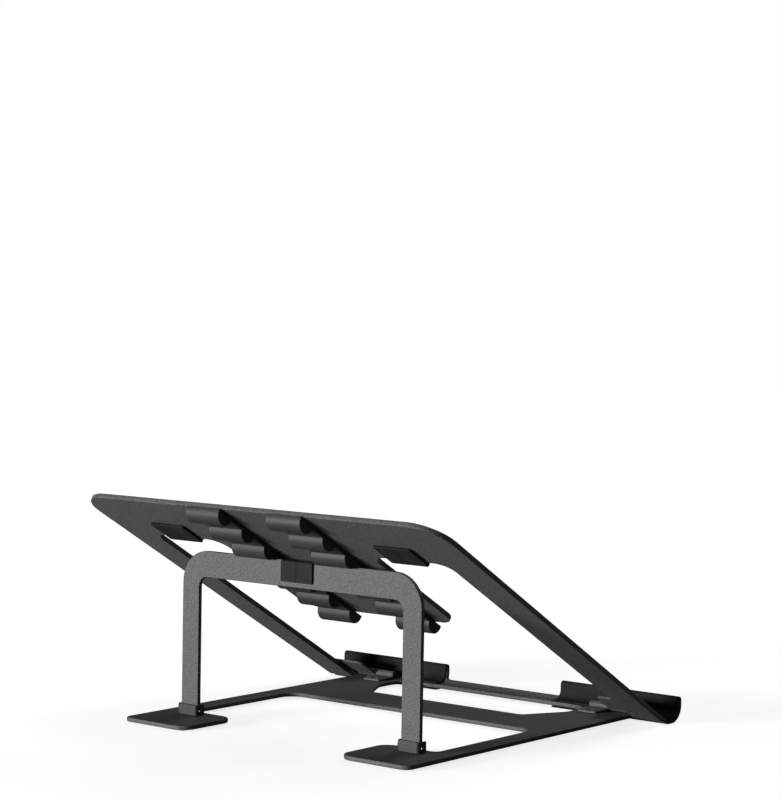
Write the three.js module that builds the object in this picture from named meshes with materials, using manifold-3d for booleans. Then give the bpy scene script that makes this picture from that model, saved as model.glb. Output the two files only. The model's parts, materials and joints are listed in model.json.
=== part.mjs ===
// Folding laptop stand: a flat base frame, a tilting tray frame and a U-shaped prop
// bracket whose top bar drops into one of the notches of two racks under the tray.
// Units are millimetres, +Z is up, +X is the user's right and -Y is the user's side.
import * as THREE from 'three';
import { mergeVertices } from 'three/addons/utils/BufferGeometryUtils.js';
import Module from 'manifold-3d';

const wasm = await Module();
wasm.setup();

// ---- Driving dimensions -------------------------------------------------------------
const GAP = 0.3;                    // air left between touching pieces
const SHEET_EDGE = 0.35;            // chamfer on the edges of the steel plates

const PAD_HEIGHT = 0.8;             // anti-slip pads under the base
const BASE_BOTTOM = PAD_HEIGHT + GAP;
const BASE_THICK = 2.5;
const BASE_TOP = BASE_BOTTOM + BASE_THICK;
const BASE_OUTER = 105;             // half width over the base's side arms
const BASE_INNER = 91.9;            // half width between the side arms
const FOOT_INNER = 56.7;            // the rear feet widen inward to here
const FOOT_REAR = 31;
const FOOT_FRONT = -10.7;
const CROSS_REAR = -102;          // front cross plate, rear edge
const SLOT_REAR = -137;
const SLOT_FRONT = -187;
const SLOT_REAR_HALF = 57.5;
const SLOT_FRONT_HALF = 72;
const FRONT_BAR_REAR = -183.9;      // rear edge of the wide front bar, beside the arms
const FRONT_HALF = 127.6;           // half width of the front bar and its lips

const LIP_START = -191.5;           // where the front edge starts to curl up
const LIP_OUTER_RADIUS = 8.5;
const LIP_TOP = 14;                 // height of the two laptop stops
const LIP_INNER_END = 44;           // the stops begin this far from the middle
const LIP_LOW_TOP = 5.4;            // height of the low edge between the stops
const SLEEVE_REAR = -187;

const TRAY_ANGLE = THREE.MathUtils.degToRad(29.74);
const TRAY_FOOT_Y = -179.3;         // the tray's lower face meets this line ...
const TRAY_FOOT_Z = 3.0;            // ... at this height
const TRAY_THICK = 3;
const TRAY_REAR_HALF = 131.1;       // the tray narrows a little towards the front
const TRAY_FRONT_HALF = 127.8;
const TRAY_ARM_INNER = 107.9;
const TRAY_FRONT = -2.5;            // along the slope, from the foot line
const TRAY_REAR = 258.2;
const WINDOW_REAR = 211;            // front edge of the tray's rear cross member
const TONGUE_HALF = 55.9;
const TONGUE_FRONT = 121;

const TOOTH_COUNT = 7;
const TOOTH_PITCH = 21.9;
const TOOTH_HALF = 6.2;             // half the length of a tooth along the slope
const TOOTH_DEPTH = 7.3;
const FIRST_TOOTH = 253.4;          // middle of the rearmost tooth, along the slope
const RACK_INNER = 17.2;
const RACK_OUTER = 42;
const RAIL_THICK = 2.2;

const BRACKET_OUTER = 88.5;
const BRACKET_INNER = 75.7;
const BRACKET_THICK = 3;
const BRACKET_TOP = 100.4;
const BRACKET_BAR_BOTTOM = 85.2;
const LEG_PIN_Y = -BRACKET_THICK / 2;
const LEG_BARREL_RADIUS = 2.5;
const LEG_PIN_Z = BASE_TOP + GAP + LEG_BARREL_RADIUS;
const LEG_PIN_RADIUS = 1.0;

const HINGE_Y = -183.98;            // axis of the tray hinge
const HINGE_Z = 6.2;
const KNUCKLE_RADIUS = 2.3;
const HINGE_PIN_RADIUS = 1.1;
const LEAF_THICK = 1.2;
const BORE_CLEARANCE = 0.25;        // radial room around a pin

// ---- Materials ----------------------------------------------------------------------
const finish = (color, roughness, metalness) =>
  new THREE.MeshStandardMaterial({ color, roughness, metalness });
const powderCoat = () => finish(0x2b2c2e, 0.55, 0.35);
const silicone = () => finish(0x1a1a1c, 0.8, 0);
const blackPlastic = () => finish(0x1e1e20, 0.55, 0);
const blackSteel = () => finish(0x3c3d3f, 0.35, 1);

// ---- Geometry helpers ---------------------------------------------------------------
const ARC_SEGMENTS = 4;              // each rounded corner gets twice as many facets
const SNAP = 1e-4;                  // corners are snapped to this grid before joining
const SLIVER = 4e-3;                // anything thinner than this is smoothed away after
const LONG = 400;                   // longer than anything on the stand

// Closed outline from [x, y, radius] corners, with every corner rounded by an arc.
function roundedOutline(corners) {
  const shape = new THREE.Shape();
  corners.forEach(([x, y, radius], i) => {
    const corner = new THREE.Vector2(x, y);
    const before = new THREE.Vector2(...corners.at(i - 1)).sub(corner).normalize();
    const after = new THREE.Vector2(...corners[(i + 1) % corners.length]).sub(corner).normalize();
    const half = Math.acos(THREE.MathUtils.clamp(before.dot(after), -1, 1)) / 2;
    const setback = radius / Math.tan(half);
    const start = corner.clone().addScaledVector(before, setback);
    if (i === 0) shape.moveTo(start.x, start.y);
    else shape.lineTo(start.x, start.y);
    if (radius > 0) {
      const toCentre = before.clone().add(after).normalize();
      const centre = corner.clone().addScaledVector(toCentre, radius / Math.sin(half));
      const end = corner.clone().addScaledVector(after, setback);
      const clockwise = before.cross(after) > 0;
      const startAngle = start.sub(centre).angle();
      const endAngle = end.sub(centre).angle();
      shape.absarc(centre.x, centre.y, radius, startAngle, endAngle, clockwise);
    }
  });
  shape.closePath();
  return shape;
}

const rectangle = (x0, x1, y0, y1, r = 0) =>
  roundedOutline([[x0, y0, r], [x1, y0, r], [x1, y1, r], [x0, y1, r]]);

// Outline mirrored to the other side of the middle plane, in the same turning sense.
const mirrored = (corners) => corners.map(([x, y, r]) => [-x, y, r]).reverse();

// Plate with its outline in XY, between two heights, with optional chamfered edges.
function plate(shape, bottom, top, chamfer = 0) {
  const geometry = new THREE.ExtrudeGeometry(shape, {
    depth: top - bottom - 2 * chamfer,
    curveSegments: ARC_SEGMENTS,
    bevelEnabled: chamfer > 0,
    bevelThickness: chamfer,
    bevelSize: chamfer,
    bevelOffset: -chamfer,
    bevelSegments: 1,
  });
  return geometry.translate(0, 0, bottom + chamfer);
}

// Plate standing upright: outline in XZ, thickness between two Y values.
const uprightPlate = (shape, front, rear, chamfer = 0) =>
  plate(shape, 0, rear - front, chamfer).rotateX(Math.PI / 2).translate(0, rear, 0);

// Bar along X: section drawn as (y, z), between two X values.
const ALONG_X = new THREE.Matrix4().makeBasis(
  new THREE.Vector3(0, 1, 0), new THREE.Vector3(0, 0, 1), new THREE.Vector3(1, 0, 0));
const barAlongX = (shape, x0, x1, chamfer = 0) =>
  plate(shape, x0, x1, chamfer).applyMatrix4(ALONG_X);

// Round bar along X or along Z.
const rodAlongX = (radius, x0, x1, y, z, sides = 20) =>
  new THREE.CylinderGeometry(radius, radius, x1 - x0, sides)
    .rotateZ(Math.PI / 2).translate((x0 + x1) / 2, y, z);
const rodAlongZ = (radius, z0, z1, x, y, sides = 18) =>
  new THREE.CylinderGeometry(radius, radius, z1 - z0, sides)
    .rotateX(Math.PI / 2).translate(x, y, (z0 + z1) / 2);

function toSolid(geometry) {
  const bare = geometry.clone();
  bare.deleteAttribute('normal');
  bare.deleteAttribute('uv');
  const { array } = bare.attributes.position;
  array.forEach((value, i) => {
    array[i] = Math.round(value / SNAP) * SNAP;
  });
  const merged = mergeVertices(bare.index ? bare.toNonIndexed() : bare, SNAP / 2);
  return new wasm.Manifold(new wasm.Mesh({
    numProp: 3,
    vertProperties: new Float32Array(merged.attributes.position.array),
    triVerts: new Uint32Array(merged.index.array),
  }));
}

// Joins the geometries in `add`, then cuts away those in `cut`, then keeps only `keep`.
function carve({ add, cut = [], keep = [] }) {
  let body = add.map(toSolid).reduce((joined, piece) => joined.add(piece));
  for (const tool of cut) body = body.subtract(toSolid(tool));
  for (const tool of keep) body = body.intersect(toSolid(tool));
  const mesh = body.simplify(SLIVER).getMesh();
  const geometry = new THREE.BufferGeometry();
  geometry.setAttribute('position', new THREE.BufferAttribute(mesh.vertProperties, 3));
  geometry.setIndex(new THREE.BufferAttribute(mesh.triVerts, 1));
  geometry.computeVertexNormals();
  return geometry;
}

// ---- Assembly -----------------------------------------------------------------------
const stand = new THREE.Group();
const tray = new THREE.Group();     // its own frame: x, distance up the slope, height
tray.position.set(0, TRAY_FOOT_Y, TRAY_FOOT_Z);
tray.rotation.x = TRAY_ANGLE;
stand.add(tray);

function place(parent, name, geometry, material) {
  const mesh = new THREE.Mesh(geometry, material);
  mesh.name = name;
  parent.add(mesh);
}

const SIDES = [['left', -1], ['right', 1]];
// Lowest and highest X of a span given by its distances from the middle plane.
const span = (side, inner, outer) => (side > 0 ? [inner, outer] : [-outer, -inner]);

// The tray hinge's axis, seen in the tray's own frame.
const hingeInTray = new THREE.Vector2(HINGE_Y - TRAY_FOOT_Y, HINGE_Z - TRAY_FOOT_Z)
  .rotateAround(new THREE.Vector2(), -TRAY_ANGLE);

// ---- Base ---------------------------------------------------------------------------
// Sheet profile of the curled front edge as (y, z), grown all round by `grow`.
function lipProfile(grow, rear) {
  const centreZ = BASE_BOTTOM + LIP_OUTER_RADIUS;
  const outer = LIP_OUTER_RADIUS + grow;
  const inner = LIP_OUTER_RADIUS - BASE_THICK - grow;
  const tip = LIP_TOP + grow - outer / 2 + inner / 2;
  const shape = new THREE.Shape();
  shape.moveTo(rear, centreZ - outer);
  shape.lineTo(rear, centreZ - inner);
  shape.lineTo(LIP_START, centreZ - inner);
  shape.absarc(LIP_START, centreZ, inner, -Math.PI / 2, -Math.PI, true);
  shape.lineTo(LIP_START - inner, tip);
  shape.absarc(LIP_START - (inner + outer) / 2, tip, (outer - inner) / 2, 0, Math.PI, false);
  shape.lineTo(LIP_START - outer, centreZ);
  shape.absarc(LIP_START, centreZ, outer, Math.PI, Math.PI * 1.5, false);
  shape.closePath();
  return shape;
}

const CLIP_RIVET_RADIUS = 1.5;
const BASE_LEAF_INNER = 76;
const BASE_LEAF_OUTER = 89.7;
const BASE_LEAF_REAR = -168;
const LEAF_RIVET_Y = -171.5;
const LEAF_RIVET_X = [79.8, 86];
const TRAY_LEAF_INNER = 90.1;
const TRAY_KNUCKLE_OUTER = 104.4;
const TRAY_LEAF_OUTER = 122;
const TRAY_LEAF_REAR = 16;
const TRAY_RIVET_S = 9;
const TRAY_RIVET_X = [112, 118];

const rivetHoles = (centres, bottom, top) => centres.map(([x, y]) =>
  rodAlongZ(CLIP_RIVET_RADIUS + BORE_CLEARANCE, bottom, top, x, y));
const bothSides = (values, y) => SIDES.flatMap(([, side]) => values.map((x) => [side * x, y]));

function basePlate() {
  const half = [
    [0, CROSS_REAR, 0], [BASE_INNER, CROSS_REAR, 10], [BASE_INNER, FOOT_FRONT, 4],
    [FOOT_INNER, FOOT_FRONT, 8], [FOOT_INNER, FOOT_REAR, 9], [BASE_OUTER, FOOT_REAR, 5],
    [BASE_OUTER, FRONT_BAR_REAR, 0], [FRONT_HALF, FRONT_BAR_REAR, 1.5], [FRONT_HALF, LIP_START, 0],
  ];
  const outline = roundedOutline([...half.slice(1), ...mirrored(half.slice(1))].reverse());
  const slotHalf = [
    [SLOT_REAR_HALF, SLOT_REAR, 5], [SLOT_FRONT_HALF, SLOT_REAR - 27, 14],
    [SLOT_FRONT_HALF, SLOT_FRONT, 11],
  ];
  outline.holes.push(roundedOutline([...slotHalf, ...mirrored(slotHalf)]));
  const lips = roundedOutline([
    [-FRONT_HALF, 0, 0], [FRONT_HALF, 0, 0], [FRONT_HALF, LIP_TOP + 1, 5],
    [LIP_INNER_END, LIP_TOP + 1, 5], [LIP_INNER_END, LIP_LOW_TOP, 2],
    [-LIP_INNER_END, LIP_LOW_TOP, 2], [-LIP_INNER_END, LIP_TOP + 1, 5], [-FRONT_HALF, LIP_TOP + 1, 5],
  ]);
  const curl = carve({
    add: [barAlongX(lipProfile(0, LIP_START + 2), -FRONT_HALF, FRONT_HALF, SHEET_EDGE)],
    keep: [uprightPlate(lips, LIP_START - 20, LIP_START + 20)],
  });
  const rivets = bothSides(LEAF_RIVET_X, LEAF_RIVET_Y);
  return carve({
    add: [plate(outline, BASE_BOTTOM, BASE_TOP, SHEET_EDGE), curl],
    cut: rivetHoles(rivets, BASE_BOTTOM - 1, BASE_TOP + 1),
  });
}

// Silicone cover pulled over one laptop stop, closed at its outer end.
function lipSleeve(side) {
  const grow = BASE_BOTTOM;
  const [x0, x1] = span(side, LIP_INNER_END + 0.5, FRONT_HALF + grow);
  const [hollow0, hollow1] = span(side, LIP_INNER_END - 5, FRONT_HALF + GAP);
  return carve({
    add: [barAlongX(lipProfile(grow, SLEEVE_REAR), x0, x1, 0.3)],
    cut: [barAlongX(lipProfile(GAP, SLEEVE_REAR + 5), hollow0, hollow1)],
  });
}

// Moulded clip that holds the foot of one bracket leg: a rear wall and two ears.
const CLIP_WALL = 0.9;
const EAR_REACH = GAP + CLIP_WALL;  // how far an ear stands out past the leg's side
const CLIP_TOP = LEG_PIN_Z + 3.6;
function legClip(side) {
  const [x0, x1] = span(side, BRACKET_INNER - EAR_REACH, BRACKET_OUTER + EAR_REACH);
  const front = LEG_PIN_Y - LEG_BARREL_RADIUS - 0.6;
  const innerRear = LEG_PIN_Y + LEG_BARREL_RADIUS + 0.4;
  const rear = innerRear + CLIP_WALL;
  const outline = roundedOutline([[x0, front, 0], [x1, front, 0], [x1, rear, 2], [x0, rear, 2]]);
  const hollow = roundedOutline([
    [x0 + CLIP_WALL, front - 5, 0], [x1 - CLIP_WALL, front - 5, 0],
    [x1 - CLIP_WALL, innerRear, 0.9], [x0 + CLIP_WALL, innerRear, 0.9],
  ]);
  return carve({
    add: [plate(outline, BASE_TOP + GAP, CLIP_TOP, 0.2)],
    cut: [
      plate(hollow, 0, LONG),
      rodAlongX(LEG_PIN_RADIUS + BORE_CLEARANCE, x0 - 1, x1 + 1, LEG_PIN_Y, LEG_PIN_Z),
    ],
  });
}

// Headed pin through one clip and one leg.
function legPin(side) {
  const [x0, x1] = span(side, BRACKET_INNER - EAR_REACH - GAP, BRACKET_OUTER + EAR_REACH + GAP);
  const head = (a, b) => rodAlongX(1.9, a, b, LEG_PIN_Y, LEG_PIN_Z);
  return carve({
    add: [
      rodAlongX(LEG_PIN_RADIUS, x0 - 0.3, x1 + 0.3, LEG_PIN_Y, LEG_PIN_Z),
      head(x0 - 0.7, x0), head(x1, x1 + 0.7),
    ],
  });
}

// Hinge leaf on the base, with its knuckle rolled round the tray's hinge axis.
function baseLeaf(side) {
  const [x0, x1] = span(side, BASE_LEAF_INNER, BASE_LEAF_OUTER);
  const bottom = BASE_TOP + GAP;
  const leaf = roundedOutline([[x0, HINGE_Y, 0], [x1, HINGE_Y, 0], [x1, BASE_LEAF_REAR, 2],
    [x0, BASE_LEAF_REAR, 2]]);
  return carve({
    add: [
      plate(leaf, bottom, bottom + LEAF_THICK),
      rodAlongX(KNUCKLE_RADIUS, x0, x1, HINGE_Y, HINGE_Z, 24),
    ],
    cut: [
      rodAlongX(HINGE_PIN_RADIUS + BORE_CLEARANCE, x0 - 1, x1 + 1, HINGE_Y, HINGE_Z),
      ...rivetHoles(LEAF_RIVET_X.map((x) => [side * x, LEAF_RIVET_Y]), 0, bottom + 9),
    ],
  });
}

const hingePin = (side) => {
  const [x0, x1] = span(side, BASE_LEAF_INNER - 0.6, TRAY_KNUCKLE_OUTER + 0.6);
  return carve({ add: [rodAlongX(HINGE_PIN_RADIUS, x0, x1, HINGE_Y, HINGE_Z)] });
};

// Domed rivet with its shank going down from the underside of the head.
function rivet(x, y, shankBottom, headBottom) {
  const dome = new THREE.LatheGeometry(
    [[0, 0], [2.5, 0], [2.5, 0.25], [1.9, 0.55], [1.0, 0.7], [0, 0.75]]
      .map(([r, h]) => new THREE.Vector2(r, h)), 18).rotateX(Math.PI / 2);
  return carve({
    add: [
      dome.translate(x, y, headBottom),
      rodAlongZ(CLIP_RIVET_RADIUS, shankBottom, headBottom + 0.3, x, y),
    ],
  });
}

function footPad(x0, x1, y0, y1) {
  return carve({ add: [plate(rectangle(x0, x1, y0, y1, 3), 0, PAD_HEIGHT, 0.2)] });
}

place(stand, 'base_plate', basePlate(), powderCoat());
for (const [name, side] of SIDES) {
  place(stand, `front_stop_sleeve_${name}`, lipSleeve(side), silicone());
  place(stand, `bracket_clip_${name}`, legClip(side), blackPlastic());
  place(stand, `bracket_pin_${name}`, legPin(side), blackSteel());
  place(stand, `base_hinge_leaf_${name}`, baseLeaf(side), powderCoat());
  place(stand, `hinge_pin_${name}`, hingePin(side), blackSteel());
  place(stand, `rear_foot_pad_${name}`, footPad(...span(side, 62, 100), -5, 26), silicone());
  place(stand, `front_foot_pad_${name}`, footPad(...span(side, 62, 100), -130, -116), silicone());
  LEAF_RIVET_X.forEach((x, i) => {
    const head = BASE_TOP + GAP + LEAF_THICK + GAP;
    const body = rivet(side * x, LEAF_RIVET_Y, BASE_BOTTOM + 0.2, head);
    place(stand, `base_leaf_rivet_${name}_${i + 1}`, body, powderCoat());
  });
}

// ---- Prop bracket -------------------------------------------------------------------
const SADDLE_HALF = 11.7;
const SADDLE_BOTTOM = 88.3;
const SADDLE_WALL = 1.1;
const SADDLE_SEAT = BRACKET_TOP - 1.5;  // the bar's edge is cut down under the saddle

function supportBracket() {
  const half = [
    [BRACKET_INNER, LEG_PIN_Z, 0], [BRACKET_OUTER, LEG_PIN_Z, 0], [BRACKET_OUTER, BRACKET_TOP, 19],
    [SADDLE_HALF + GAP, BRACKET_TOP, 0.8], [SADDLE_HALF + GAP, SADDLE_SEAT, 0],
  ];
  const inner = [[BRACKET_INNER, BRACKET_BAR_BOTTOM, 6]];
  const outline = roundedOutline([...half, ...mirrored(half), ...mirrored(inner), ...inner]);
  const legs = SIDES.map(([, side]) => span(side, BRACKET_INNER, BRACKET_OUTER));
  return carve({
    add: [
      uprightPlate(outline, -BRACKET_THICK, 0, SHEET_EDGE),
      ...legs.map(([x0, x1]) => rodAlongX(LEG_BARREL_RADIUS, x0, x1, LEG_PIN_Y, LEG_PIN_Z, 24)),
    ],
    cut: legs.map(([x0, x1]) =>
      rodAlongX(LEG_PIN_RADIUS + BORE_CLEARANCE, x0 - 1, x1 + 1, LEG_PIN_Y, LEG_PIN_Z)),
  });
}

// Soft saddle over the middle of the bar, hooked over its top edge.
function barSaddle() {
  const front = -BRACKET_THICK - GAP - SADDLE_WALL;
  const rear = GAP + SADDLE_WALL;
  const top = SADDLE_SEAT + GAP + SADDLE_WALL;
  const seam = rectangle(-0.25, 0.25, SADDLE_BOTTOM - 5, top + 5);
  return carve({
    add: [barAlongX(roundedOutline([[front, SADDLE_BOTTOM, 0.4], [rear, SADDLE_BOTTOM, 0.4],
      [rear, top, 1], [front, top, 1]]), -SADDLE_HALF, SADDLE_HALF, 0.25)],
    cut: [
      barAlongX(rectangle(-BRACKET_THICK - GAP, GAP, 0, SADDLE_SEAT + GAP), -LONG, LONG),
      uprightPlate(seam, rear - 0.3, rear + 1),
    ],
  });
}

place(stand, 'support_bracket', supportBracket(), powderCoat());
place(stand, 'bar_saddle', barSaddle(), silicone());

// ---- Tray ---------------------------------------------------------------------------
const SCREW_X = (RACK_INNER + RACK_OUTER) / 2;
const SCREW_TEETH = [1, 5];         // counted from the rear, starting at 0
const toothMiddle = (i) => FIRST_TOOTH - i * TOOTH_PITCH;
const screwPlaces = (side) => SCREW_TEETH.map((i) => [side * SCREW_X, toothMiddle(i)]);
const SCREW_RADIUS = 1.2;
const SCREW_HEAD_RADIUS = 2.8;
const SCREW_SINK = 1.5;

function trayPlate() {
  const half = [
    [TONGUE_HALF, TONGUE_FRONT, 10], [TONGUE_HALF, WINDOW_REAR, 10], [TRAY_ARM_INNER, WINDOW_REAR, 9],
    [TRAY_ARM_INNER, TRAY_FRONT, 1.5], [TRAY_FRONT_HALF, TRAY_FRONT, 1.5],
    [TRAY_REAR_HALF, TRAY_REAR, 20],
  ];
  const outline = roundedOutline([...half, ...mirrored(half)]);
  const screws = SIDES.flatMap(([, side]) => screwPlaces(side));
  const rivets = bothSides(TRAY_RIVET_X, TRAY_RIVET_S);
  return carve({
    add: [plate(outline, 0, TRAY_THICK, SHEET_EDGE)],
    cut: [
      ...rivetHoles(rivets, -1, TRAY_THICK + 1),
      ...screws.map(([x, s]) => rodAlongZ(SCREW_RADIUS + BORE_CLEARANCE, -1, TRAY_THICK + 1, x, s)),
      ...screws.map(([x, s]) =>
        rodAlongZ(SCREW_HEAD_RADIUS + GAP, TRAY_THICK - SCREW_SINK, TRAY_THICK + 1, x, s)),
    ],
  });
}

// Rack of half-round teeth on a thin rail, hanging under the tongue.
function rack(side) {
  const [x0, x1] = span(side, RACK_INNER, RACK_OUTER);
  const last = toothMiddle(TOOTH_COUNT - 1);
  const rail = rectangle(last - TOOTH_HALF + 1, FIRST_TOOTH + TOOTH_HALF - 1, -GAP - RAIL_THICK, -GAP);
  const tooth = new THREE.Shape();
  tooth.moveTo(TOOTH_HALF, -GAP);
  tooth.lineTo(-TOOTH_HALF, -GAP);
  tooth.absarc(0, TOOTH_HALF - TOOTH_DEPTH, TOOTH_HALF, Math.PI, 2 * Math.PI, false);
  tooth.closePath();
  const teeth = Array.from({ length: TOOTH_COUNT }, (_, i) =>
    barAlongX(tooth, x0, x1, 0.4).translate(0, toothMiddle(i), 0));
  const holes = screwPlaces(side).map(([x, s]) =>
    rodAlongZ(SCREW_RADIUS + BORE_CLEARANCE, -5.4, 1, x, s, 12));
  return carve({ add: [barAlongX(rail, x0 + 0.4, x1 - 0.4), ...teeth], cut: holes });
}

function rackScrew(x, s) {
  const headTop = TRAY_THICK - 0.2;
  return carve({
    add: [
      rodAlongZ(SCREW_RADIUS, -5, headTop - 0.3, x, s),
      rodAlongZ(SCREW_HEAD_RADIUS, headTop - 1, headTop, x, s, 24),
    ],
    cut: [
      plate(rectangle(x - 1.8, x + 1.8, s - 0.35, s + 0.35), headTop - 0.5, headTop + 1),
      plate(rectangle(x - 0.35, x + 0.35, s - 1.8, s + 1.8), headTop - 0.5, headTop + 1),
    ],
  });
}

// Silicone clip over the front edge of the rear cross member, where the laptop rests.
const PAD_INNER = 70;
const PAD_OUTER = 95.6;
const PAD_TOP = TRAY_THICK + 2.6;
const PAD_UNDER = 1.3;
function clipPad(side) {
  const web = WINDOW_REAR - GAP - 1.6;
  const [x0, x1] = span(side, PAD_INNER, PAD_OUTER);
  const middle = (x0 + x1) / 2;
  return carve({
    add: [
      plate(rectangle(x0, x1, web, WINDOW_REAR + 22, 1.5), 0, PAD_TOP, 0.5),
      plate(rectangle(x0, x1, web, WINDOW_REAR + 18.3, 1), -GAP - PAD_UNDER, 1, 0.4),
    ],
    cut: [
      plate(rectangle(-LONG, LONG, WINDOW_REAR - GAP, LONG), -GAP, TRAY_THICK + GAP),
      plate(rectangle(middle - 0.3, middle + 0.3, 0, LONG), -9, -GAP - PAD_UNDER + 0.4),
    ],
  });
}

// Hinge leaf riveted on the end of one tray arm, with the knuckle reaching inward.
function trayLeaf(side) {
  const bottom = TRAY_THICK + GAP;
  const [knuckle0, knuckle1] = span(side, TRAY_LEAF_INNER, TRAY_KNUCKLE_OUTER);
  const corners = [
    [TRAY_LEAF_INNER, hingeInTray.x, 0], [TRAY_KNUCKLE_OUTER, hingeInTray.x, 0],
    [TRAY_KNUCKLE_OUTER, 2, 1], [TRAY_LEAF_OUTER, 2, 2], [TRAY_LEAF_OUTER, TRAY_LEAF_REAR, 3],
    [TRAY_LEAF_INNER, TRAY_LEAF_REAR, 3],
  ];
  return carve({
    add: [
      plate(roundedOutline(side > 0 ? corners : mirrored(corners)), bottom, bottom + LEAF_THICK),
      rodAlongX(KNUCKLE_RADIUS, knuckle0, knuckle1, hingeInTray.x, hingeInTray.y, 24),
    ],
    cut: [
      rodAlongX(HINGE_PIN_RADIUS + BORE_CLEARANCE, knuckle0 - 1, knuckle1 + 1,
        hingeInTray.x, hingeInTray.y),
      ...rivetHoles(TRAY_RIVET_X.map((x) => [side * x, TRAY_RIVET_S]), 0, bottom + 9),
    ],
  });
}

place(tray, 'tray_plate', trayPlate(), powderCoat());
for (const [name, side] of SIDES) {
  place(tray, `notch_rack_${name}`, rack(side), blackPlastic());
  place(tray, `clip_pad_${name}`, clipPad(side), silicone());
  place(tray, `tray_hinge_leaf_${name}`, trayLeaf(side), powderCoat());
  screwPlaces(side).forEach(([x, s], i) => {
    place(tray, `rack_screw_${name}_${i + 1}`, rackScrew(x, s), blackSteel());
  });
  TRAY_RIVET_X.forEach((x, i) => {
    const head = TRAY_THICK + GAP + LEAF_THICK + GAP;
    place(tray, `tray_leaf_rivet_${name}_${i + 1}`, rivet(side * x, TRAY_RIVET_S, 0.2, head), powderCoat());
  });
}

// ---- Frame --------------------------------------------------------------------------
// The origin is the middle of the bottom of the whole stand's box.
const group = new THREE.Group();
group.add(stand);
group.updateMatrixWorld(true);
const box = new THREE.Box3().setFromObject(group, true);
stand.position.set(-(box.min.x + box.max.x) / 2, -(box.min.y + box.max.y) / 2, -box.min.z);

export default group;
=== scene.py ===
"""Folding laptop stand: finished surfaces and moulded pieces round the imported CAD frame."""

import json
import math

import bmesh
import bpy
from mathutils import Matrix, Vector

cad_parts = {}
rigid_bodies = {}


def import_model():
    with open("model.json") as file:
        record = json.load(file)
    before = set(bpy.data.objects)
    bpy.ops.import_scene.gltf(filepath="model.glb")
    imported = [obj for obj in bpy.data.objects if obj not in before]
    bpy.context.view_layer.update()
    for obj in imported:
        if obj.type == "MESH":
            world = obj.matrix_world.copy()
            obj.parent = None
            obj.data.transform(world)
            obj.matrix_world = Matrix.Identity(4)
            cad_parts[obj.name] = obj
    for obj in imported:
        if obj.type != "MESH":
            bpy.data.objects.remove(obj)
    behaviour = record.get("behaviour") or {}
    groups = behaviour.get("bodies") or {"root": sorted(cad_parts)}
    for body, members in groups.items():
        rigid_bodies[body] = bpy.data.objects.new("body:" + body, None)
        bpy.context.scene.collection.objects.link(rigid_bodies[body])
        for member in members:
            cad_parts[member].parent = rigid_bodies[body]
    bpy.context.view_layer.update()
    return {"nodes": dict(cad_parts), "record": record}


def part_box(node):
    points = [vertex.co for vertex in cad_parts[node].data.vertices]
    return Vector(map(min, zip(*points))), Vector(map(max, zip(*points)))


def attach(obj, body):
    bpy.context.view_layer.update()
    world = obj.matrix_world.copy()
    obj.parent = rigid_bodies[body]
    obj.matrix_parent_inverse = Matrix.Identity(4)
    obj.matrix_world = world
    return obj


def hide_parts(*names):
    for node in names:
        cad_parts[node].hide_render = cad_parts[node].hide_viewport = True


for leftover in list(bpy.data.objects):
    bpy.data.objects.remove(leftover)

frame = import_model()
NODES = frame["nodes"]
BODY_OF = {
    node: body
    for body, members in frame["record"]["behaviour"]["bodies"].items()
    for node in members
}

MM = 0.001
TRAY_ANGLE = math.radians(29.74)
BRACKET_LOW, BRACKET_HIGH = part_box("support_bracket")
PIN_Y = (BRACKET_LOW.y + BRACKET_HIGH.y) / 2  # middle of the upright bracket's thickness
BRACKET_THICK = 3 * MM
REAR_Y = PIN_Y + BRACKET_THICK / 2  # the bracket's rear face
TRAY_FOOT = Vector((0, REAR_Y - 179.3 * MM, 3 * MM))
TRAY_FRAME = Matrix.Translation(TRAY_FOOT) @ Matrix.Rotation(TRAY_ANGLE, 4, "X")


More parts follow.
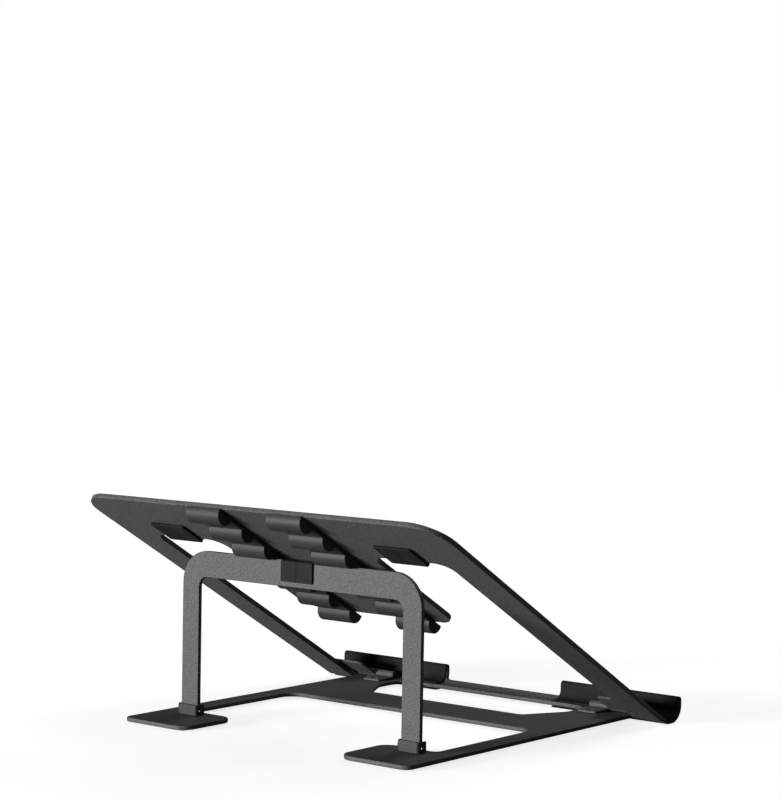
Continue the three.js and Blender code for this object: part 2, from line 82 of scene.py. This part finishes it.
# ---- Node materials ------------------------------------------------------------------
class Shader:
    """A Principled material whose colour, roughness and bump come from procedural nodes."""

    def __init__(self, name):
        self.material = bpy.data.materials.new(name)
        self.material.use_nodes = True
        self.nodes = self.material.node_tree.nodes
        self.links = self.material.node_tree.links
        self.surface = self.nodes["Principled BSDF"]
        self.coordinates = self.nodes.new("ShaderNodeTexCoord").outputs["Object"]

    def stretched(self, scale):
        """Object coordinates stretched by a factor along each axis."""
        mapping = self.nodes.new("ShaderNodeMapping")
        mapping.inputs["Scale"].default_value = scale
        self.links.new(self.coordinates, mapping.inputs["Vector"])
        return mapping.outputs["Vector"]

    def noise(self, scale, detail=4.0, vector=None):
        node = self.nodes.new("ShaderNodeTexNoise")
        node.inputs["Scale"].default_value = scale
        node.inputs["Detail"].default_value = detail
        self.links.new(vector or self.coordinates, node.inputs["Vector"])
        return node.outputs["Fac"]

    def grains(self, scale):
        node = self.nodes.new("ShaderNodeTexVoronoi")
        node.feature = "SMOOTH_F1"
        node.inputs["Scale"].default_value = scale
        self.links.new(self.coordinates, node.inputs["Vector"])
        return node.outputs["Distance"]

    def ramp(self, value, stops):
        node = self.nodes.new("ShaderNodeValToRGB")
        elements = node.color_ramp.elements
        while len(elements) < len(stops):
            elements.new(0.5)
        for element, (position, level) in zip(elements, stops):
            element.position = position
            element.color = (*level, 1) if isinstance(level, tuple) else (level,) * 3 + (1,)
        self.links.new(value, node.inputs["Fac"])
        return node.outputs["Color"]

    def drive(self, socket, value):
        self.links.new(value, self.surface.inputs[socket])

    def bump(self, layers):
        """Stacks bump layers, each (height, strength, distance in metres)."""
        normal = None
        for height, strength, distance in layers:
            node = self.nodes.new("ShaderNodeBump")
            node.inputs["Strength"].default_value = strength
            node.inputs["Distance"].default_value = distance
            self.links.new(height, node.inputs["Height"])
            if normal:
                self.links.new(normal, node.inputs["Normal"])
            normal = node.outputs["Normal"]
        self.links.new(normal, self.surface.inputs["Normal"])


def powder_coat():
    """Matt black powder coat with a fine sandy texture."""
    shader = Shader("powder_coat_sand")
    sand = shader.grains(1450)
    broad = shader.noise(14, 3)
    fine = shader.noise(2600, 2)
    colour = shader.ramp(sand, [(0.15, (0.085, 0.085, 0.087)), (0.7, (0.030, 0.030, 0.031))])
    shader.drive("Base Color", colour)
    shader.drive("Roughness", shader.ramp(broad, [(0.3, 0.58), (0.7, 0.68)]))
    shader.bump([(sand, 0.45, 0.00013), (fine, 0.3, 0.00006)])
    shader.surface.inputs["Specular IOR Level"].default_value = 0.32
    return shader.material


def silicone():
    """Soft black silicone: dull, with a faint bloom and small moulding ripples."""
    shader = Shader("silicone_black")
    bloom = shader.noise(60, 5)
    ripple = shader.noise(700, 3)
    colour = shader.ramp(bloom, [(0.3, (0.008, 0.008, 0.009)), (0.75, (0.018, 0.018, 0.019))])
    shader.drive("Base Color", colour)
    shader.drive("Roughness", shader.ramp(bloom, [(0.25, 0.70), (0.75, 0.84)]))
    shader.bump([(ripple, 0.12, 0.00006)])
    shader.surface.inputs["Specular IOR Level"].default_value = 0.12
    return shader.material


def rack_plastic():
    """Moulded black plastic, smoother than the silicone, with a faint grain."""
    shader = Shader("rack_plastic_black")
    flow = shader.noise(35, 4, shader.stretched((0.4, 2.5, 2.5)))
    grain = shader.noise(1700, 2)
    colour = shader.ramp(flow, [(0.3, (0.014, 0.014, 0.015)), (0.7, (0.024, 0.024, 0.025))])
    shader.drive("Base Color", colour)
    shader.drive("Roughness", shader.ramp(flow, [(0.3, 0.50), (0.7, 0.60)]))
    shader.bump([(grain, 0.12, 0.00004)])
    shader.surface.inputs["Specular IOR Level"].default_value = 0.3
    return shader.material


def steel():
    """Blackened drawn steel with fine scratches along the pins."""
    shader = Shader("steel_blackened")
    scratches = shader.noise(900, 4, shader.stretched((0.08, 1, 1)))
    tone = shader.ramp(scratches, [(0.3, (0.045, 0.045, 0.047)), (0.7, (0.10, 0.10, 0.104))])
    shader.drive("Base Color", tone)
    shader.drive("Roughness", shader.ramp(scratches, [(0.3, 0.28), (0.7, 0.42)]))
    shader.surface.inputs["Metallic"].default_value = 1.0
    shader.bump([(scratches, 0.15, 0.00003)])
    return shader.material


FINISHES = {
    "powder_coat": powder_coat(),
    "silicone": silicone(),
    "rack_plastic": rack_plastic(),
    "steel": steel(),
}


# ---- Mesh helpers --------------------------------------------------------------------
SMOOTH_BELOW = math.radians(50)  # edges flatter than this shade as one rounded surface
FLAT_BELOW = math.radians(0.3)   # edges flatter than this are merged away
WELD_DISTANCE = 2e-6


def finish_piece(name, mesh, body, slot, nodes):
    """Links a mesh as a piece that rides on a body and stands for CAD nodes."""
    mesh.shade_smooth()
    mesh.set_sharp_from_angle(angle=SMOOTH_BELOW)
    mesh.materials.clear()
    mesh.materials.append(FINISHES[slot])
    piece = bpy.data.objects.new(name, mesh)
    bpy.context.scene.collection.objects.link(piece)
    weighted = piece.modifiers.new("even_normals", "WEIGHTED_NORMAL")
    weighted.keep_sharp = True
    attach(piece, body)
    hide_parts(*nodes)


def skin(node, slot):
    """A welded, smoothly shaded copy of a CAD node, with its flat faces merged."""
    work = bmesh.new()
    work.from_mesh(NODES[node].data)
    bmesh.ops.remove_doubles(work, verts=work.verts, dist=WELD_DISTANCE)
    bmesh.ops.dissolve_limit(work, angle_limit=FLAT_BELOW, verts=work.verts, edges=work.edges)
    mesh = bpy.data.meshes.new(f"{node}_finished")
    work.to_mesh(mesh)
    work.free()
    finish_piece(f"{node}_finished", mesh, BODY_OF[node], slot, [node])


def inset(outline, distance):
    """The closed counter-clockwise outline moved inwards by a distance."""
    moved = []
    count = len(outline)
    for i, point in enumerate(outline):
        here = Vector(point)
        before = (here - Vector(outline[i - 1])).normalized()
        after = (Vector(outline[(i + 1) % count]) - here).normalized()
        normal = Vector((-before.y - after.y, before.x + after.x))
        normal.normalize()
        lean = max(0.5, normal.dot(Vector((-before.y, before.x))))
        moved.append(here + normal * (distance / lean))
    return moved


def loft_along_x(outline, stations):
    """Mesh swept along X through (x, inset) stations, closed at both ends."""
    work = bmesh.new()
    rings = [
        [work.verts.new((x, p.x, p.y)) for p in inset(outline, depth)] for x, depth in stations
    ]
    count = len(outline)
    for low, high in zip(rings, rings[1:]):
        for i in range(count):
            j = (i + 1) % count
            work.faces.new((low[i], low[j], high[j], high[i]))
    work.faces.new(list(reversed(rings[0])))
    work.faces.new(rings[-1])
    bmesh.ops.recalc_face_normals(work, faces=work.faces)
    return work


def rounded_ends(x0, x1, radius, between=()):
    """Stations from x0 to x1 whose ends are rounded over, with extra ones between."""
    steps = 4
    turn = [math.radians(90 * i / steps) for i in reversed(range(steps + 1))]
    lead = [(x0 + radius * (1 - math.sin(a)), radius * (1 - math.cos(a))) for a in turn]
    tail = [(x0 + x1 - x, d) for x, d in reversed(lead)]
    return [*lead, *between, *tail]


def arc(centre, radius, start, end, steps):
    """Points on an arc between two angles in degrees, both ends included."""
    angles = [math.radians(start + (end - start) * i / steps) for i in range(steps + 1)]
    return [(centre[0] + radius * math.cos(a), centre[1] + radius * math.sin(a)) for a in angles]


# ---- Racks ---------------------------------------------------------------------------
TOOTH_COUNT = 7
TOOTH_PITCH = 21.9 * MM
TOOTH_HALF = 6.15 * MM
TOOTH_CENTRE_H = -1.1 * MM
FIRST_TOOTH = 253.4 * MM
RAIL_TOP = -0.3 * MM
RAIL_BOTTOM = -2.5 * MM
RACK_INNER, RACK_OUTER = 17.2 * MM, 42 * MM
TOOTH_STEPS = 18
RACK_EDGE = 0.45 * MM  # rounding of a rack's two side edges


def rack_outline():
    """Side outline of a rack: a thin rail with half-round teeth, as (slope, height)."""
    middles = [FIRST_TOOTH - i * TOOTH_PITCH for i in reversed(range(TOOTH_COUNT))]
    dip = math.degrees(math.asin((TOOTH_CENTRE_H - RAIL_BOTTOM) / TOOTH_HALF))
    points = [(middles[-1] + TOOTH_HALF, RAIL_TOP), (middles[0] - TOOTH_HALF, RAIL_TOP)]
    for i, middle in enumerate(middles):
        first = 180 if i == 0 else 180 + dip
        last = 360 if i == TOOTH_COUNT - 1 else 360 - dip
        points += arc((middle, TOOTH_CENTRE_H), TOOTH_HALF, first, last, TOOTH_STEPS)
    return points


def make_rack(name, side):
    x0, x1 = sorted((side * RACK_INNER, side * RACK_OUTER))
    work = loft_along_x(rack_outline(), rounded_ends(x0, x1, RACK_EDGE))
    mesh = bpy.data.meshes.new(f"rack_{name}")
    work.to_mesh(mesh)
    work.free()
    mesh.transform(TRAY_FRAME)
    finish_piece(f"rack_{name}", mesh, "tray", "rack_plastic", [f"notch_rack_{name}"])


# ---- Saddle on the bracket's bar -----------------------------------------------------
SADDLE_HALF = 11.7 * MM
SADDLE_BOTTOM = 88.3 * MM
SADDLE_WALL = 1.1 * MM
SADDLE_GAP = 0.3 * MM
SADDLE_CORNER = 0.9 * MM
SADDLE_EDGE = 0.4 * MM     # rounding of its two side edges
BAR_SEAT = 98.9 * MM       # top of the bar under the saddle
# Shallow groove round the saddle's middle, as (x, depth) in millimetres.
SADDLE_SEAM = ((-0.45, 0), (-0.3, 0.1), (-0.16, 0.3), (0.16, 0.3), (0.3, 0.1), (0.45, 0))


def saddle_outline():
    """Upside-down U as (y, z), with rounded outer corners and lips."""
    front = REAR_Y - BRACKET_THICK - SADDLE_GAP - SADDLE_WALL
    rear = REAR_Y + SADDLE_GAP + SADDLE_WALL
    top = BAR_SEAT + SADDLE_GAP + SADDLE_WALL
    lip = SADDLE_WALL * 0.46
    corner = SADDLE_CORNER
    under = BAR_SEAT + SADDLE_GAP
    return [
        *arc((rear - lip, SADDLE_BOTTOM + lip), lip, 180, 360, 8),
        *arc((rear - corner, top - corner), corner, 0, 90, 6),
        *arc((front + corner, top - corner), corner, 90, 180, 6),
        *arc((front + lip, SADDLE_BOTTOM + lip), lip, 180, 360, 8),
        (front + SADDLE_WALL, under),
        (rear - SADDLE_WALL, under),
    ]


def make_saddle():
    seam = [(x * MM, depth * MM) for x, depth in SADDLE_SEAM]
    stations = rounded_ends(-SADDLE_HALF, SADDLE_HALF, SADDLE_EDGE, seam)
    work = loft_along_x(saddle_outline(), stations)
    mesh = bpy.data.meshes.new("saddle_moulded")
    work.to_mesh(mesh)
    work.free()
    finish_piece("saddle_moulded", mesh, "bracket", "silicone", ["bar_saddle"])


# ---- Pieces --------------------------------------------------------------------------
SIDES = (("left", -1), ("right", 1))
for node in ("base_plate", "tray_plate", "support_bracket"):
    skin(node, "powder_coat")
for side_name, side_sign in SIDES:
    make_rack(side_name, side_sign)
    for node in ("base_hinge_leaf", "tray_hinge_leaf"):
        skin(f"{node}_{side_name}", "powder_coat")
    skin(f"bracket_clip_{side_name}", "rack_plastic")
    for node in ("front_stop_sleeve", "clip_pad", "rear_foot_pad", "front_foot_pad"):
        skin(f"{node}_{side_name}", "silicone")
    for node in ("bracket_pin", "hinge_pin"):
        skin(f"{node}_{side_name}", "steel")
    for number in (1, 2):
        skin(f"base_leaf_rivet_{side_name}_{number}", "powder_coat")
        skin(f"tray_leaf_rivet_{side_name}_{number}", "powder_coat")
        skin(f"rack_screw_{side_name}_{number}", "steel")
make_saddle()


# ---- Floor, light and camera ---------------------------------------------------------
def camera_rays(nodes):
    """One for what the camera sees directly, zero for light that bounces on."""
    return nodes.new("ShaderNodeLightPath").outputs["Is Camera Ray"]


FLOOR_HALF = 60.0
FLOOR_DROP = 0.0002        # keeps the floor just clear of the foot pads
GLOW_NEAR, GLOW_FAR = (0.2, 0.80), (2.4, 1.0)  # (distance from the stand, strength)


def make_floor():
    """Pale floor that brightens away from the stand and throws no light of its own."""
    work = bmesh.new()
    bmesh.ops.create_grid(work, x_segments=4, y_segments=4, size=FLOOR_HALF)
    mesh = bpy.data.meshes.new("floor")
    work.to_mesh(mesh)
    work.free()
    shader = Shader("floor_pale")
    mottle = shader.noise(3, 3)
    shader.drive("Base Color", shader.ramp(mottle, [(0.3, 0.40), (0.7, 0.44)]))
    distance = shader.nodes.new("ShaderNodeVectorMath")
    distance.operation = "LENGTH"
    shader.links.new(shader.coordinates, distance.inputs[0])
    spread = shader.nodes.new("ShaderNodeMapRange")
    spread.inputs["From Min"].default_value, spread.inputs["To Min"].default_value = GLOW_NEAR
    spread.inputs["From Max"].default_value, spread.inputs["To Max"].default_value = GLOW_FAR
    shader.links.new(distance.outputs["Value"], spread.inputs["Value"])
    seen = shader.nodes.new("ShaderNodeMath")
    seen.operation = "MULTIPLY"
    shader.links.new(spread.outputs["Result"], seen.inputs[0])
    shader.links.new(camera_rays(shader.nodes), seen.inputs[1])
    shader.surface.inputs["Roughness"].default_value = 0.9
    shader.surface.inputs["Emission Color"].default_value = (1, 1, 1, 1)
    shader.drive("Emission Strength", seen.outputs["Value"])
    mesh.materials.append(shader.material)
    floor = bpy.data.objects.new("floor", mesh)
    floor.location.z = -FLOOR_DROP
    bpy.context.scene.collection.objects.link(floor)


def make_world():
    """Pale backdrop for the camera, and dim surroundings for everything else."""
    world = bpy.data.worlds.new("studio")
    bpy.context.scene.world = world
    world.use_nodes = True
    nodes, links = world.node_tree.nodes, world.node_tree.links
    dim = nodes["Background"]
    dim.inputs["Color"].default_value = (1, 1, 1, 1)
    dim.inputs["Strength"].default_value = 0.03
    pale = nodes.new("ShaderNodeBackground")
    pale.inputs["Color"].default_value = (1, 1, 1, 1)
    pale.inputs["Strength"].default_value = 1.0
    mix = nodes.new("ShaderNodeMixShader")
    links.new(camera_rays(nodes), mix.inputs["Fac"])
    links.new(dim.outputs["Background"], mix.inputs[1])
    links.new(pale.outputs["Background"], mix.inputs[2])
    links.new(mix.outputs["Shader"], nodes["World Output"].inputs["Surface"])


def area_light(name, place, target, size, power):
    data = bpy.data.lights.new(name, "AREA")
    data.shape = "RECTANGLE"
    data.size, data.size_y = size
    data.energy = power
    light = bpy.data.objects.new(name, data)
    bpy.context.scene.collection.objects.link(light)
    light.location = place
    aim = Vector(target) - Vector(place)
    light.rotation_mode = "QUATERNION"
    light.rotation_quaternion = aim.to_track_quat("-Z", "Y")
    light.visible_camera = False


FOCAL_PIXELS = 2379.3
IMAGE_LONG_SIDE = 800
SENSOR = 36.0
CAMERA_PLACE = Vector((-0.8702, REAR_Y + 1.0033, 0.2521))
CAMERA_AZIMUTH, CAMERA_ELEVATION, CAMERA_ROLL = map(math.radians, (218.749, 2.608, 0.951))


def make_camera():
    azimuth, elevation, roll = CAMERA_AZIMUTH, CAMERA_ELEVATION, CAMERA_ROLL
    flat = math.cos(elevation)
    back = Vector((math.sin(azimuth) * flat, -math.cos(azimuth) * flat, math.sin(elevation)))
    right = Vector((math.cos(azimuth), math.sin(azimuth), 0))
    up = back.cross(right)
    tilted_right = right * math.cos(roll) + up * math.sin(roll)
    tilted_up = up * math.cos(roll) - right * math.sin(roll)
    data = bpy.data.cameras.new("camera")
    data.sensor_width = SENSOR
    data.lens = FOCAL_PIXELS * SENSOR / IMAGE_LONG_SIDE
    data.clip_start, data.clip_end = 0.05, 50
    camera = bpy.data.objects.new("camera", data)
    bpy.context.scene.collection.objects.link(camera)
    turn = Matrix((tilted_right, tilted_up, back)).transposed()
    camera.matrix_world = Matrix.Translation(CAMERA_PLACE) @ turn.to_4x4()
    bpy.context.scene.camera = camera


make_floor()
make_world()
area_light("key", (0.75, 2.1, 0.26), (0, 0, 0.08), (0.8, 0.35), 88)
area_light("front", (0, -1.8, 1.4), (0, 0, 0.05), (1.2, 0.8), 11)
area_light("top", (-0.3, -0.3, 1.9), (0, 0, 0.05), (1.2, 0.8), 4)
make_camera()
bpy.context.scene.view_settings.view_transform = "Standard"
